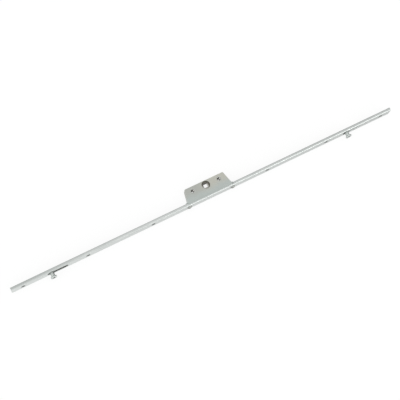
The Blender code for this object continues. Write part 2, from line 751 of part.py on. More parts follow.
def build():
    for old in list(bpy.data.objects):
        bpy.data.objects.remove(old)
    plated_strip = make_material("zinc_plated_strip", (0.6, 0.63, 0.61), 0.38, 1.0)
    oiled_steel = make_material("oiled_steel", (0.25, 0.245, 0.225), 0.45, 1.0)
    spring_steel = make_material("spring_steel", (0.2, 0.2, 0.21), 0.4, 1.0)
    turned_steel = make_material("turned_steel", (0.47, 0.48, 0.455), 0.42, 1.0)
    cam_steel = make_material("cam_steel", (0.6, 0.63, 0.61), 0.4, 1.0)
    zinc_cast = make_material("zinc_die_casting", (0.49, 0.53, 0.5), 0.46, 1.0)
    hub_steel = make_material("sintered_steel", (0.3, 0.29, 0.27), 0.5, 1.0)

    build_rail(plated_strip)
    build_clips(spring_steel)
    build_case_rivets(turned_steel)
    build_case_body(zinc_cast)
    build_case_cover(zinc_cast)
    build_bushes(turned_steel)
    build_hub(hub_steel)
    carriage = make_empty("carriage", (-STROKE / 2, 0, 0))
    build_bar(oiled_steel, carriage)
    build_rack(hub_steel, carriage)
    build_rack_rivets(turned_steel, carriage)
    build_cams(cam_steel, turned_steel, carriage)


build()
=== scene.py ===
"""Looks of a window espagnolette, lying on the edge of its rail on a white studio floor.

Lengths are in metres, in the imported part's own frame: X along the rail, Y from the rail's
front face towards the back of the gearbox, Z up along the spindle. Rigid pieces keep the
solids' shape, with finely broken edges and their fit clearances closed up. The rail's holes
are cut again, and turned pieces are turned again, with finer facets.
"""

import json
from math import acos, ceil, cos, pi, radians, sin, sqrt

import bmesh
import bpy
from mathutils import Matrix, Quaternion, Vector


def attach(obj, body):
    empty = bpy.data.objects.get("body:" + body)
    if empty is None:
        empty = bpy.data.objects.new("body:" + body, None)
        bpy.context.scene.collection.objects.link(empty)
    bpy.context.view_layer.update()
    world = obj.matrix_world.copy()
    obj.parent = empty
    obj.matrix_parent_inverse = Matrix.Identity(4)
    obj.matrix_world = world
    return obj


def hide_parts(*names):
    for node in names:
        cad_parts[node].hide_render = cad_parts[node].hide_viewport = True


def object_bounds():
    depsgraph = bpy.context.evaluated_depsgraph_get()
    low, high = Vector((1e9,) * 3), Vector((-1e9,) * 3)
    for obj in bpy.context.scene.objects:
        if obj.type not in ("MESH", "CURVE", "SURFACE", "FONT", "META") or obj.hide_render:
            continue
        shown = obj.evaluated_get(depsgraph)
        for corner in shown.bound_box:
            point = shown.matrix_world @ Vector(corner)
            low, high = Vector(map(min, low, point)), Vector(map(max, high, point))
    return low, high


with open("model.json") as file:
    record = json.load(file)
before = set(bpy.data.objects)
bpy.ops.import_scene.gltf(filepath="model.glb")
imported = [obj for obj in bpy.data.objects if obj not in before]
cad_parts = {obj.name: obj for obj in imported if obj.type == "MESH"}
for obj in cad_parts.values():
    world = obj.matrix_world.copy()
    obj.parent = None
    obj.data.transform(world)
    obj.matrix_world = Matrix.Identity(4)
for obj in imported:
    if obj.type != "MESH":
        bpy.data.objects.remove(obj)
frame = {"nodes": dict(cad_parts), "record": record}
cad_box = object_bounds()

MM = 0.001

# Camera, fitted to the photograph
CAMERA_PLACE = Vector((-0.3179, -0.2969, 1.2073))
CAMERA_TARGET = Vector((-0.01712, 0.00305, 0.0001))
CAMERA_ROLL = radians(17.96)
CAMERA_LENS = 79.91
CAMERA_SENSOR = 36.0
CAMERA_NEAR = 0.05
CAMERA_FAR = 20.0

# Studio
FLOOR_REACH = 6.0
FLOOR_PAINT = 0.16
FLOOR_GLOW = 0.86  # of the floor as the camera sees it
FLOOR_SHEEN_LEFT = 0.94  # of the floor as the metal reflects it, at each end of the rail
FLOOR_SHEEN_RIGHT = 0.68
TENT_BRIGHT_SIDE = Vector((-0.7, -0.3, 0.65)).normalized()
TENT_DARK = 0.28
TENT_BRIGHT = 1.13
LAMP_PLACE = Vector((0.75, -1.3, 0.32))
LAMP_AIM = Vector((0.15, 0, 0))
LAMP_WIDTH = 1.1
LAMP_HEIGHT = 0.4
LAMP_POWER = 5.0

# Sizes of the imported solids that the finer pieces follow
CLEARANCE = 0.3 * MM
SEAM = 0.02 * MM  # what is left of a closed clearance
HUB_Y = 18.4 * MM
CASE_HALF = 5.9 * MM
CASE_SPLIT = 4.1 * MM
CASE_FOOT_Y = 1.8 * MM
SPINDLE_HALF = 3.55 * MM
HANDLE_X = 21.5 * MM
BUSH_RADIUS = 3.4 * MM
BUSH_BORE = 2.6 * MM
BUSH_FLARE = 0.35 * MM
RIVET_X = 35.589 * MM
RIVET_HEAD = 3.6 * MM
RIVET_DOME = 2.2 * MM
RIVET_SHANK = 1.5 * MM
RIVET_TAIL = 5.8 * MM
RAIL_HALF = 311 * MM
RAIL_EDGE_Y = 4.4 * MM
RAIL_WALL = 1.5 * MM
SCREW_X = (94 * MM, 196 * MM, 294 * MM)
SCREW_HOLE = 2.5 * MM
SCREW_SINK = 0.8 * MM
SLOT_X = 242 * MM
SLOT_HALF = 15.525 * MM
SLOT_END = 4.1 * MM
BAR_CENTRE = -9.425 * MM  # in the rest pose
BAR_BACK = 3.6 * MM
CLIP_REACH = 6.2 * MM  # of the barbs, either way from the middle
CAM_OFFSET = 242 * MM  # from the bar's middle to each cam
CAM_X = {"left": BAR_CENTRE - CAM_OFFSET, "right": BAR_CENTRE + CAM_OFFSET}
CAM_THROW = 0.8 * MM
CAM_NECK = 3.0 * MM
CAM_HEAD = 4.7 * MM
CAM_UNDER = 5.8 * MM
CAM_TOP = 7.8 * MM
CAM_BACK = 1.5 * MM
CAM_COVE = 1.0 * MM
CAM_EDGE = 0.5 * MM
CAM_SOCKET = 4.0 * MM  # across flats
CAM_SOCKET_CORNER = CAM_SOCKET / sqrt(3)
CAM_SOCKET_DEPTH = 2.6 * MM
CAM_SOCKET_TURN = radians(11)
CAM_TAIL = 1.8 * MM
WASHER = 3.5 * MM
WASHER_THICKNESS = 0.4 * MM
PEEN = 2.6 * MM
PEEN_BACK = 5.3 * MM

# Forms that only the finer pieces have
THREAD_PITCH = 0.8 * MM
THREAD_DEPTH = 0.43 * MM
THREAD_PROFILE = ((0, 0), (1 / 8, 0), (7 / 16, 1), (11 / 16, 1))  # share of the pitch, of the depth
CAM_LEAD = 0.3 * MM  # countersink of the cam's socket
CAM_TAIL_ROOT = 1 * MM  # behind the rail's face, within the cam's neck
PEEN_ROUND = 0.6 * MM

# Where the case starts to stretch, so as to close a clearance
CASE_FOOT_STRETCH = 3.0 * MM
CASE_SEAM_STRETCH = 3.4 * MM

# How far cutters stand before a face and go past a wall
CUT_BEFORE = 1 * MM
CUT_PAST = 0.1 * MM

# Facets of turned pieces, around them and along the arcs of their profiles
ROUND = 96
COVE_STEPS = 8
UNDERSIDE_STEPS = 4
RIM_STEPS = 6
PEEN_STEPS = 5
DOME_STEPS = 14

# Points closer than this are merged: slivers spoil broken edges, and threads end in a wall
SOLID_SLIVER = 0.09 * MM
CUT_SLIVER = 0.03 * MM
THREAD_WELD = 0.001 * MM

# Angles that tell flat faces, edges to break and smooth shading apart
FLAT_ANGLE = radians(0.4)
EDGE_ANGLE = radians(30)
SMOOTH_ANGLE = radians(32)

# Widths of the broken edges
EDGE_SEGMENTS = 2
RAIL_BREAK = 0.09 * MM
BAR_BREAK = 0.10 * MM
HUB_BREAK = 0.10 * MM
CASE_BREAK = 0.12 * MM
CLIP_BREAK = 0.06 * MM
RACK_BREAK = 0.08 * MM
WASHER_BREAK = 0.08 * MM
CASE_RIVET_BREAK = 0.05 * MM

# Tones, as linear colours; the two of a pair blend into each other
STRIP_CLOUDS = ((0.555, 0.585, 0.57), (0.64, 0.665, 0.65))
STRIP_STREAK = (0.69, 0.71, 0.70)
STRIP_RUB = (0.48, 0.50, 0.48)
STRIP_EDGE_SHADE = (0.41, 0.43, 0.42)
STRIP_LEG_SHADE = (0.43, 0.455, 0.44)
STRIP_HOLE_SHADE = (0.06, 0.06, 0.055)
STRIP_SLOT_HIGHLIGHT = (0.78, 0.80, 0.79)
CAST_CLOUDS = ((0.48, 0.53, 0.51), (0.56, 0.605, 0.58))
CAST_FILM = ((0.475, 0.48, 0.44), (0.575, 0.565, 0.495))
CAST_GRAIN = (0.64, 0.66, 0.63)
SINTER_CLOUDS = ((0.37, 0.36, 0.33), (0.50, 0.49, 0.45))
SINTER_PORE = (0.13, 0.125, 0.12)
SINTER_SHADE = (0.12, 0.11, 0.09)
SPINDLE_WALL_LIGHT_SHADE = ((0.78, 0.77, 0.72), (0.06, 0.055, 0.045))  # at its sides, at its front and back
TURNED_CLOUDS = ((0.31, 0.32, 0.30), (0.41, 0.42, 0.40))
TURNED_FACE = (0.56, 0.57, 0.54)
THREAD_LIGHT_SHADE = ((0.84, 0.84, 0.79), (0.10, 0.09, 0.075))  # painted highlight, then painted shade
CAM_CLOUDS = ((0.54, 0.58, 0.56), (0.66, 0.69, 0.67))
CAM_SOCKET_DARK = (0.08, 0.08, 0.075)
BAR_GREASE_AND_SHADE = ((0.13, 0.125, 0.105), (0.25, 0.245, 0.22))
BAR_WIPED = (0.36, 0.36, 0.34)
BAR_END_HIGHLIGHT = (0.56, 0.57, 0.54)
SPRING_BLUING = ((0.16, 0.165, 0.185), (0.25, 0.245, 0.24))

# Places between which the looks change
EDGE_SHADE_Y = (RAIL_EDGE_Y - 1.1 * MM, RAIL_EDGE_Y - 0.6 * MM)
LEG_SHADE_X = (-290 * MM, -150 * MM)
LEG_SHADE_Y = (0.8 * MM, 1.8 * MM)
SCREW_SHADE = (SCREW_HOLE + 0.1 * MM, SCREW_HOLE + SCREW_SINK)  # from the screw's axis
SLOT_WALL_X = SLOT_HALF + 0.1 * MM  # from the slot's middle
SLOT_WALL_Y = (0.04 * MM, RAIL_WALL - 0.05 * MM)
SLOT_WALL_Z = SLOT_END + 0.1 * MM
SLOT_UNLIT_X = -SLOT_X + 2 * MM
SLOT_UNLIT_REACH = 13.5 * MM
CAST_FILM_X = (-16 * MM, 10 * MM)
CAST_FILM_Y = (8 * MM, 17 * MM)
CAST_FILM_DRIFT = 3 * MM
HUB_SHADE_WAY = (0.42, 0.91, 0)
HUB_SHADE = (-3.8 * MM, -0.4 * MM)  # from the spindle's axis along that way
HUB_SHADE_DRIFT = 1 * MM
SPINDLE_WALL = (SPINDLE_HALF + 0.02 * MM, SPINDLE_HALF + 0.1 * MM)
BUSH_WALL = (BUSH_BORE + 0.02 * MM, BUSH_BORE + 0.1 * MM)
BUSH_SHADE_Z = (CASE_HALF - 1.4 * MM, CASE_HALF - 0.5 * MM)
BUSH_FACE_Z = (CASE_HALF - 0.5 * MM, CASE_HALF - 0.3 * MM)
THREAD_TURN = 0.9 * MM  # either side of where the painted highlight on the threads gives way to painted shade
SOCKET_DARK = (CAM_SOCKET_CORNER, CAM_SOCKET_CORNER + 0.6 * MM)  # from the cam's axis
SOCKET_DARK_Y = (-CAM_TOP, -CAM_TOP + 0.8 * MM)
BAR_HIGHLIGHT_X = (CAM_OFFSET + 1 * MM, CAM_OFFSET + 5 * MM)  # from the bar's middle

# Depths of the fine relief
STREAK_DEPTH = 0.004 * MM
RING_DEPTH = 0.005 * MM
GRAIN_DEPTH = 0.010 * MM
PORE_DEPTH = 0.012 * MM

NODES = frame["nodes"]
BODY_OF = {n: body for body, nodes in frame["record"]["behaviour"]["bodies"].items() for n in nodes}
SLOT_OF = {row["node"]: row["material_slot"] for row in frame["record"]["subparts"]}


# Material building

class Shader:
    """A Principled metal whose colour, roughness and relief are fed by procedural nodes.

    The plain colour and roughness that it starts with serve where nodes aren't read.
    """

    def __init__(self, name, colour, roughness):
        self.material = bpy.data.materials.new(name)
        self.material.use_nodes = True
        self.tree = self.material.node_tree
        self.out = self.tree.nodes["Principled BSDF"]
        self.out.inputs["Metallic"].default_value = 1.0
        self.out.inputs["Base Color"].default_value = (*colour, 1)
        self.out.inputs["Roughness"].default_value = roughness
        self.place = self.tree.nodes.new("ShaderNodeTexCoord").outputs["Object"]

    def node(self, kind, **settings):
        made = self.tree.nodes.new(kind)
        for key, value in settings.items():
            setattr(made, key, value)
        return made

    def feed(self, socket, value):
        """Gives a socket a number, a tuple or another node's output."""
        if isinstance(value, bpy.types.NodeSocket):
            self.tree.links.new(value, socket)
        elif isinstance(value, tuple) and socket.type == "RGBA":
            socket.default_value = (*value, 1)
        else:
            socket.default_value = value

    def vectors(self, operation, first, second=None, output="Vector"):
        made = self.node("ShaderNodeVectorMath", operation=operation)
        self.feed(made.inputs[0], first)
        if second is not None:
            self.feed(made.inputs[1], second)
        return made.outputs[output]

    def axis(self, vector, name):
        """One coordinate of a vector."""
        parts = self.node("ShaderNodeSeparateXYZ")
        self.feed(parts.inputs["Vector"], vector)
        return parts.outputs[name]

    def maths(self, operation, first, second=0.0):
        made = self.node("ShaderNodeMath", operation=operation)
        self.feed(made.inputs[0], first)
        self.feed(made.inputs[1], second)
        return made.outputs["Value"]

    def noise(self, scale, detail=3.0, roughness=0.55, distortion=0.0):
        """Noise over the piece's own coordinates in metres, scaled along each axis."""
        made = self.node("ShaderNodeTexNoise")
        made.inputs["Scale"].default_value = 1.0
        made.inputs["Detail"].default_value = detail
        made.inputs["Roughness"].default_value = roughness
        made.inputs["Distortion"].default_value = distortion
        self.feed(made.inputs["Vector"], self.vectors("MULTIPLY", self.place, scale))
        return made.outputs["Fac"]

    def spread(self, value, low, high, low_out=0.0, high_out=1.0):
        """A value between low and high, stretched to between the two outputs."""
        made = self.node("ShaderNodeMapRange")
        limits = {"From Min": low, "From Max": high, "To Min": low_out, "To Max": high_out}
        for key, number in limits.items():
            made.inputs[key].default_value = number
        self.feed(made.inputs["Value"], value)
        return made.outputs["Result"]

    def distance(self, place, across=(1, 1, 1), spot=None):
        """How far each point lies from a place, in metres, along the axes that count."""
        offset = self.vectors("SUBTRACT", spot or self.place, place)
        return self.vectors("LENGTH", self.vectors("MULTIPLY", offset, across), output="Value")

    def where_all(self, *tests):
        """1 where every test holds and 0 elsewhere, each test a comparison, a value and a limit."""
        share = self.maths(*tests[0])
        for test in tests[1:]:
            share = self.maths("MULTIPLY", share, self.maths(*test))
        return share

    def mixed(self, share, first, second):
        """A colour between two."""
        made = self.node("ShaderNodeMix", data_type="RGBA")
        self.feed(made.inputs["Factor"], share)
        self.feed(made.inputs[6], first)
        self.feed(made.inputs[7], second)
        return made.outputs[2]

    def colour(self, value):
        self.feed(self.out.inputs["Base Color"], value)

    def roughness(self, value):
        self.feed(self.out.inputs["Roughness"], value)

    def relief(self, height, depth):
        """Bumps from a height field, their depth in metres."""
        made = self.node("ShaderNodeBump")
        made.inputs["Strength"].default_value = 1.0
        made.inputs["Distance"].default_value = depth
        self.feed(made.inputs["Height"], height)
        self.feed(self.out.inputs["Normal"], made.outputs["Normal"])


def zinc_plated_strip():
    """Rolled strip with bright zinc plating: fine streaks along the rail and a soft, cloudy tone.

    It has painted shade along the legs' back edges, on the legs towards the left end, and in
    the sinks of the screw holes. The walls of the cam slots have a painted highlight, apart
    from most of the left one.
    """
    shader = Shader("zinc_plated_strip", (0.60, 0.63, 0.61), 0.36)
    streaks = shader.noise((14, 2600, 2600), detail=2.0)
    clouds = shader.noise((38, 160, 160), detail=4.0, roughness=0.6)
    grain = shader.noise((900, 2400, 2400), detail=2.0)
    rubs = shader.noise((55, 700, 700), detail=5.0, roughness=0.7, distortion=0.4)
    tone = shader.mixed(shader.spread(clouds, 0.32, 0.68), *STRIP_CLOUDS)
    streaked = shader.mixed(shader.spread(streaks, 0.35, 0.75, 0.0, 0.35), tone, STRIP_STREAK)
    rubbed = shader.mixed(shader.spread(rubs, 0.6, 0.75, 0.0, 0.5), streaked, STRIP_RUB)

    behind = shader.axis(shader.place, "Y")
    # Painted shade along the legs' back edges.
    edge_shaded = shader.mixed(shader.spread(behind, *EDGE_SHADE_Y, 0.0, 0.85), rubbed, STRIP_EDGE_SHADE)
    # Painted shade on the legs, growing towards the left end.
    towards_left = shader.spread(shader.axis(shader.place, "X"), *LEG_SHADE_X, 0.8, 0.0)
    leg_shade = shader.maths("MULTIPLY", towards_left, shader.spread(behind, *LEG_SHADE_Y))
    leg_shaded = shader.mixed(leg_shade, edge_shaded, STRIP_LEG_SHADE)

    # Painted shade in the screw holes and their sinks.
    mirrored = shader.vectors("ABSOLUTE", shader.place)
    from_screw = [shader.distance((x, 0, 0), (1, 0, 1), mirrored) for x in SCREW_X]
    nearest = shader.maths("MINIMUM", shader.maths("MINIMUM", from_screw[0], from_screw[1]), from_screw[2])
    punched = shader.spread(nearest, *SCREW_SHADE, 0.95, 0.3)
    hole_shade = shader.maths("MULTIPLY", punched, shader.maths("LESS_THAN", nearest, SCREW_SHADE[1]))
    hole_shaded = shader.mixed(hole_shade, leg_shaded, STRIP_HOLE_SHADE)

    # A painted highlight on the walls of the cam slots, left out over most of the left slot.
    slot_highlight = shader.where_all(
        ("LESS_THAN", shader.distance((SLOT_X, 0, 0), (1, 0, 0), mirrored), SLOT_WALL_X),
        ("LESS_THAN", shader.axis(mirrored, "Z"), SLOT_WALL_Z),
        ("LESS_THAN", shader.axis(mirrored, "Y"), SLOT_WALL_Y[1]),
        ("GREATER_THAN", behind, SLOT_WALL_Y[0]),
        ("GREATER_THAN", shader.distance((SLOT_UNLIT_X, 0, 0), (1, 0, 0)), SLOT_UNLIT_REACH),
    )
    shader.colour(shader.mixed(slot_highlight, hole_shaded, STRIP_SLOT_HIGHLIGHT))
    dull = shader.spread(clouds, 0.3, 0.7, 0.30, 0.42)
    shader.roughness(shader.maths("ADD", dull, shader.spread(streaks, 0.3, 0.7, -0.03, 0.04)))
    shader.relief(shader.maths("ADD", streaks, shader.maths("MULTIPLY", grain, 0.6)), STREAK_DEPTH)
    return shader.material


def die_cast_zinc():
    """Tumbled zinc casting: fine grain, faint flow marks, and a thin warm film towards its back."""
    shader = Shader("die_cast_zinc", (0.49, 0.53, 0.51), 0.46)
    flow = shader.noise((70, 110, 110), detail=5.0, roughness=0.62, distortion=0.6)
    grain = shader.noise((2100, 2100, 2100), detail=3.0, roughness=0.65)
    pits = shader.noise((950, 950, 950), detail=1.0)
    bare = shader.mixed(shader.spread(flow, 0.3, 0.7), *CAST_CLOUDS)
    # The film is darker towards the left and lighter towards the right.
    film = shader.mixed(shader.spread(shader.axis(shader.place, "X"), *CAST_FILM_X), *CAST_FILM)
    drift = shader.spread(flow, 0.3, 0.7, -CAST_FILM_DRIFT, CAST_FILM_DRIFT)
    backward = shader.maths("ADD", shader.axis(shader.place, "Y"), drift)
    filmed = shader.mixed(shader.spread(backward, *CAST_FILM_Y, 0.0, 0.85), bare, film)
    shader.colour(shader.mixed(shader.spread(grain, 0.35, 0.7, 0.0, 0.25), filmed, CAST_GRAIN))
    shader.roughness(shader.spread(flow, 0.3, 0.7, 0.40, 0.54))
    shader.relief(shader.maths("ADD", grain, shader.spread(pits, 0.62, 0.75, 0.0, -1.2)), GRAIN_DEPTH)
    return shader.material


def sintered_steel():
    """Sintered steel, porous and grey, with painted shade over all but its front.

    The spindle hole's walls have a painted highlight at its sides and nearly black painted shade at its front
    and back.
    """
    shader = Shader("sintered_steel", (0.30, 0.29, 0.27), 0.45)
    film = shader.noise((260, 260, 260), detail=4.0, roughness=0.6)
    pores = shader.noise((3200, 3200, 3200), detail=2.0, roughness=0.7)
    bare = shader.mixed(shader.spread(film, 0.35, 0.65), *SINTER_CLOUDS)
    porous = shader.mixed(shader.spread(pores, 0.58, 0.7, 0.0, 0.7), bare, SINTER_PORE)
    # Painted shade over all of the hub but its front.
    offset = shader.vectors("SUBTRACT", shader.place, (0, HUB_Y, 0))
    slope = shader.vectors("DOT_PRODUCT", offset, HUB_SHADE_WAY, "Value")
    drift = shader.spread(film, 0.3, 0.7, -HUB_SHADE_DRIFT, HUB_SHADE_DRIFT)
    shade_share = shader.spread(shader.maths("ADD", slope, drift), *HUB_SHADE, 0.0, 0.85)
    shaded = shader.mixed(shade_share, porous, SINTER_SHADE)

    # A painted highlight on the spindle hole's walls at its sides, and painted shade at its front and back.
    sides = shader.vectors("ABSOLUTE", offset)
    across = shader.axis(sides, "X")
    behind = shader.axis(sides, "Y")
    inside = shader.spread(shader.maths("MAXIMUM", across, behind), *SPINDLE_WALL, 0.85, 0.0)
    wall = shader.mixed(shader.maths("GREATER_THAN", behind, across), *SPINDLE_WALL_LIGHT_SHADE)
    shader.colour(shader.mixed(inside, shaded, wall))
    shader.roughness(shader.spread(film, 0.3, 0.7, 0.32, 0.55))
    shader.relief(shader.spread(pores, 0.5, 0.75, 0.0, -1.0), PORE_DEPTH)
    return shader.material


def turned_steel():
    """Turned and peened steel, dull, with faint tool marks.

    The bushes' end faces are brighter. The threads below them have a painted highlight towards
    the front right and painted shade towards the back left.
    """
    shader = Shader("turned_steel", (0.47, 0.48, 0.455), 0.42)
    marks = shader.noise((1500, 1500, 5200), detail=2.0)
    dull = shader.noise((420, 420, 420), detail=3.0, roughness=0.6)
    tone = shader.mixed(shader.spread(dull, 0.35, 0.65), *TURNED_CLOUDS)
    mirrored = shader.vectors("ABSOLUTE", shader.place)
    height = shader.axis(mirrored, "Z")
    faced = shader.mixed(shader.spread(height, *BUSH_FACE_Z), tone, TURNED_FACE)

    # A painted highlight and painted shade on the threads deep in the bushes' bores.
    from_axis = shader.distance((HANDLE_X, HUB_Y, 0), (1, 1, 0), mirrored)
    bore = shader.spread(from_axis, *BUSH_WALL, 0.8, 0.0)
    bore_light_share = shader.maths("MULTIPLY", bore, shader.spread(height, *BUSH_SHADE_Z, 1.0, 0.0))
    along = shader.axis(shader.place, "X")
    nearer_bush = shader.maths("MULTIPLY", shader.maths("SIGN", along), HANDLE_X)
    to_side = shader.maths("SUBTRACT", along, nearer_bush)
    to_back = shader.maths("SUBTRACT", shader.axis(shader.place, "Y"), HUB_Y)
    turn = shader.maths("SUBTRACT", to_back, to_side)
    threads = shader.mixed(shader.spread(turn, -THREAD_TURN, THREAD_TURN), *THREAD_LIGHT_SHADE)
    shader.colour(shader.mixed(bore_light_share, faced, threads))
    shader.roughness(shader.spread(dull, 0.3, 0.7, 0.34, 0.5))
    shader.relief(marks, STREAK_DEPTH)
    return shader.material


def plated_cam_steel():
    """Turned steel with bright zinc plating, darker in the key's socket and more so deeper in it."""
    shader = Shader("plated_cam_steel", (0.60, 0.63, 0.61), 0.38)
    rings = shader.noise((900, 5600, 900), detail=2.0)
    clouds = shader.noise((300, 300, 300), detail=3.0, roughness=0.6)
    tone = shader.mixed(shader.spread(clouds, 0.3, 0.7), *CAM_CLOUDS)
    # Darker in the key's socket, the more so the deeper.
    left = shader.distance((CAM_X["left"], 0, 0), (1, 0, 1))
    right = shader.distance((CAM_X["right"], 0, 0), (1, 0, 1))
    near_axis = shader.spread(shader.maths("MINIMUM", left, right), *SOCKET_DARK, 0.85, 0.0)
    below_face = shader.spread(shader.axis(shader.place, "Y"), *SOCKET_DARK_Y, 0.35, 1.0)
    socket_dark = shader.maths("MULTIPLY", near_axis, below_face)
    shader.colour(shader.mixed(socket_dark, tone, CAM_SOCKET_DARK))
    shader.roughness(shader.spread(clouds, 0.3, 0.7, 0.30, 0.44))
    shader.relief(rings, RING_DEPTH)
    return shader.material


def oiled_steel():
    """Cold-drawn flat bar under a film of dark grease, with painted shade darkening it further, and a painted
    highlight beyond the cams.
    """
    shader = Shader("oiled_steel", (0.25, 0.245, 0.225), 0.42)
    film = shader.noise((90, 300, 300), detail=4.0, roughness=0.6, distortion=0.5)
    streaks = shader.noise((18, 1800, 1800), detail=2.0)
    # Dark grease, deepened by painted shade.
    tone = shader.mixed(shader.spread(film, 0.3, 0.7), *BAR_GREASE_AND_SHADE)
    wiped = shader.mixed(shader.spread(streaks, 0.5, 0.8, 0.0, 0.5), tone, BAR_WIPED)
    # A painted highlight on the bar beyond the cams.
    along = shader.maths("ADD", shader.axis(shader.place, "X"), -BAR_CENTRE)
    ends = shader.spread(shader.maths("ABSOLUTE", along), *BAR_HIGHLIGHT_X, 0.0, 0.9)
    shader.colour(shader.mixed(ends, wiped, BAR_END_HIGHLIGHT))
    shader.roughness(shader.spread(film, 0.3, 0.7, 0.3, 0.5))
    shader.relief(streaks, STREAK_DEPTH)
    return shader.material


def hardened_spring_steel():
    """Spring strip, blued and oiled: dark, faintly streaked, with a satin sheen."""
    shader = Shader("hardened_spring_steel", (0.2, 0.2, 0.21), 0.38)
    streaks = shader.noise((60, 2400, 2400), detail=2.0)
    bluing = shader.noise((240, 240, 240), detail=3.0)
    shader.colour(shader.mixed(shader.spread(bluing, 0.3, 0.7), *SPRING_BLUING))
    shader.roughness(shader.spread(bluing, 0.3, 0.7, 0.3, 0.46))
    shader.relief(streaks, STREAK_DEPTH)
    return shader.material


MATERIALS = {
    "zinc_plate": zinc_plated_strip(),
    "zinc_cast": die_cast_zinc(),
    "hub_cast": sintered_steel(),
    "turned_steel": turned_steel(),
    "cam_steel": plated_cam_steel(),
    "oiled_steel": oiled_steel(),
    "spring_steel": hardened_spring_steel(),
}


# Pieces

def object_of(name, bm):
    """An object in the scene with a shape's faces, turned outwards."""
    bmesh.ops.recalc_face_normals(bm, faces=bm.faces)
    mesh = bpy.data.meshes.new(name)
    bm.to_mesh(mesh)
    bm.free()
    made = bpy.data.objects.new(name, mesh)
    bpy.context.scene.collection.objects.link(made)
    return made


def finish_piece(piece, node, edge):
    """Breaks a piece's edges, shades it, and lets it stand for a CAD node on its body."""
    piece.data.materials.clear()
    piece.data.materials.append(MATERIALS[SLOT_OF[node]])
    piece.data.shade_smooth()
    if edge:
        bevel = piece.modifiers.new("broken_edges", "BEVEL")
        bevel.width = edge
        bevel.segments = EDGE_SEGMENTS
        bevel.limit_method = "ANGLE"
        bevel.angle_limit = EDGE_ANGLE
        bevel.use_clamp_overlap = False
    piece.data.set_sharp_from_angle(angle=SMOOTH_ANGLE)
    flatten = piece.modifiers.new("flat_faces", "WEIGHTED_NORMAL")
    flatten.keep_sharp = True
    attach(piece, BODY_OF[node])
    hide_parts(node)


def dress(node, edge, settle=None, cuts=()):
    """A CAD node's own shape, with whole flat faces, broken edges and closed clearances."""
    bm = bmesh.new()
    bm.from_mesh(NODES[node].data)
    bmesh.ops.remove_doubles(bm, verts=bm.verts, dist=SOLID_SLIVER)
    bmesh.ops.dissolve_limit(
        bm, angle_limit=FLAT_ANGLE, verts=bm.verts, edges=bm.edges, delimit={"NORMAL"})
    if settle:
        for vert in bm.verts:
            vert.co = settle(vert.co)
    finish_piece(shaped(f"{node}_dressed", bm, cuts), node, edge)


def arc(centre, radius, start, end, steps):
    """Points along a circle's arc, both ends with them."""
    angles = [start + (end - start) * i / steps for i in range(steps + 1)]
    return [(centre[0] + radius * cos(a), centre[1] + radius * sin(a)) for a in angles]


def add_turned(bm, profile, centre, axis, ends="flat"):
    """A profile of (radius, height) turned about a line through a point.

    Heights run along Z, or for the axis "front" out of the rail's front. A profile is closed
    by flat ends, or by a point where its radius is 0. Its ends can also be joined, which
    makes a ring, or left open.
    """
    rows = []
    for radius, height in profile:
        row = []
        for i in range(ROUND if radius > 0 else 1):
            u = radius * cos(2 * pi * i / ROUND)
            v = radius * sin(2 * pi * i / ROUND)
            spot = (u, v, height) if axis == "Z" else (u, -height, v)
            row.append(bm.verts.new(Vector(centre) + Vector(spot)))
        rows.append(row)
    bands = list(zip(rows, rows[1:]))
    if ends == "joined":
        bands.append((rows[-1], rows[0]))
    for low, high in bands:
        for i in range(ROUND):
            j = (i + 1) % ROUND
            corners = [low[i % len(low)], low[j % len(low)], high[j % len(high)], high[i % len(high)]]
            bm.faces.new(list(dict.fromkeys(corners)))
    for row in (rows[0], rows[-1]):
        if ends == "flat" and len(row) > 1:
            bm.faces.new(row)


def add_prism(bm, outline, low, high):
    """A closed prism: an outline of (x, z) drawn between two heights in front of the rail's face."""
    rows = [[bm.verts.new((x, -height, z)) for x, z in outline] for height in (low, high)]
    bm.faces.new(rows[0])
    bm.faces.new(rows[1])
    for i in range(len(outline)):
        j = (i + 1) % len(outline)
        bm.faces.new((rows[0][i], rows[0][j], rows[1][j], rows[1][i]))


def shaped(name, bm, changes):
    """A closed shape after Boolean changes, each an operation and another closed shape."""
    piece = object_of(name, bm)
    tools = []
    for operation, tool_bm in changes:
        tool = object_of(f"{name}_tool", tool_bm)
        boolean = piece.modifiers.new(operation, "BOOLEAN")
        boolean.object = tool
        boolean.operation = operation
        boolean.solver = "EXACT"
        tools.append(tool)
    graph = bpy.context.evaluated_depsgraph_get()
    mesh = bpy.data.meshes.new_from_object(piece.evaluated_get(graph))
    piece.modifiers.clear()
    clean = bmesh.new()
    clean.from_mesh(mesh)
    bmesh.ops.remove_doubles(clean, verts=clean.verts, dist=CUT_SLIVER)
    clean.to_mesh(mesh)
    clean.free()
    piece.data = mesh
    for tool in tools:
        bpy.data.objects.remove(tool)
    return piece


